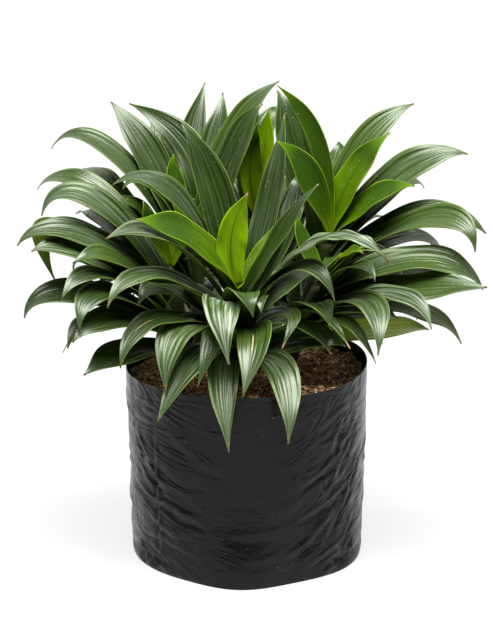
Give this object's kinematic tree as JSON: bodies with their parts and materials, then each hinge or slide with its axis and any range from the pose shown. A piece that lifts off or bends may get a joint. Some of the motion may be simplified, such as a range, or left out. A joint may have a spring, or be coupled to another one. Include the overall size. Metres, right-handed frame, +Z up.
{
  "type": "potted dracaena",
  "caption": "Bushy compact dracaena with arching lance-shaped leaves on several short stems, standing in soil in a round black film grow bag.",
  "frame": {"origin": "centre of the flat outer base of the grow bag, where it rests on the surface", "axes": "+Z up along the bag; +X to the right of the plant seen from its front; -Y is its front, which the picture shows"},
  "size_m": [0.3858, 0.2998, 0.3923],
  "materials": {
    "film": "satin",
    "soil": "matte",
    "mature_leaf": "satin",
    "young_leaf": "satin"
  },
  "bodies": {
    "root": {"grow_bag": "film", "potting_soil": "soil", "shoot_front": "mature_leaf", "young_front": "young_leaf", "shoot_right": "mature_leaf", "young_right": "young_leaf", "shoot_low": "mature_leaf", "young_low": "young_leaf", "shoot_left_back": "mature_leaf", "young_left_back": "young_leaf", "shoot_centre": "mature_leaf", "young_centre": "young_leaf", "shoot_left": "mature_leaf", "young_left": "young_leaf", "shoot_back": "mature_leaf", "young_back": "young_leaf"}
  },
  "joints": []
}
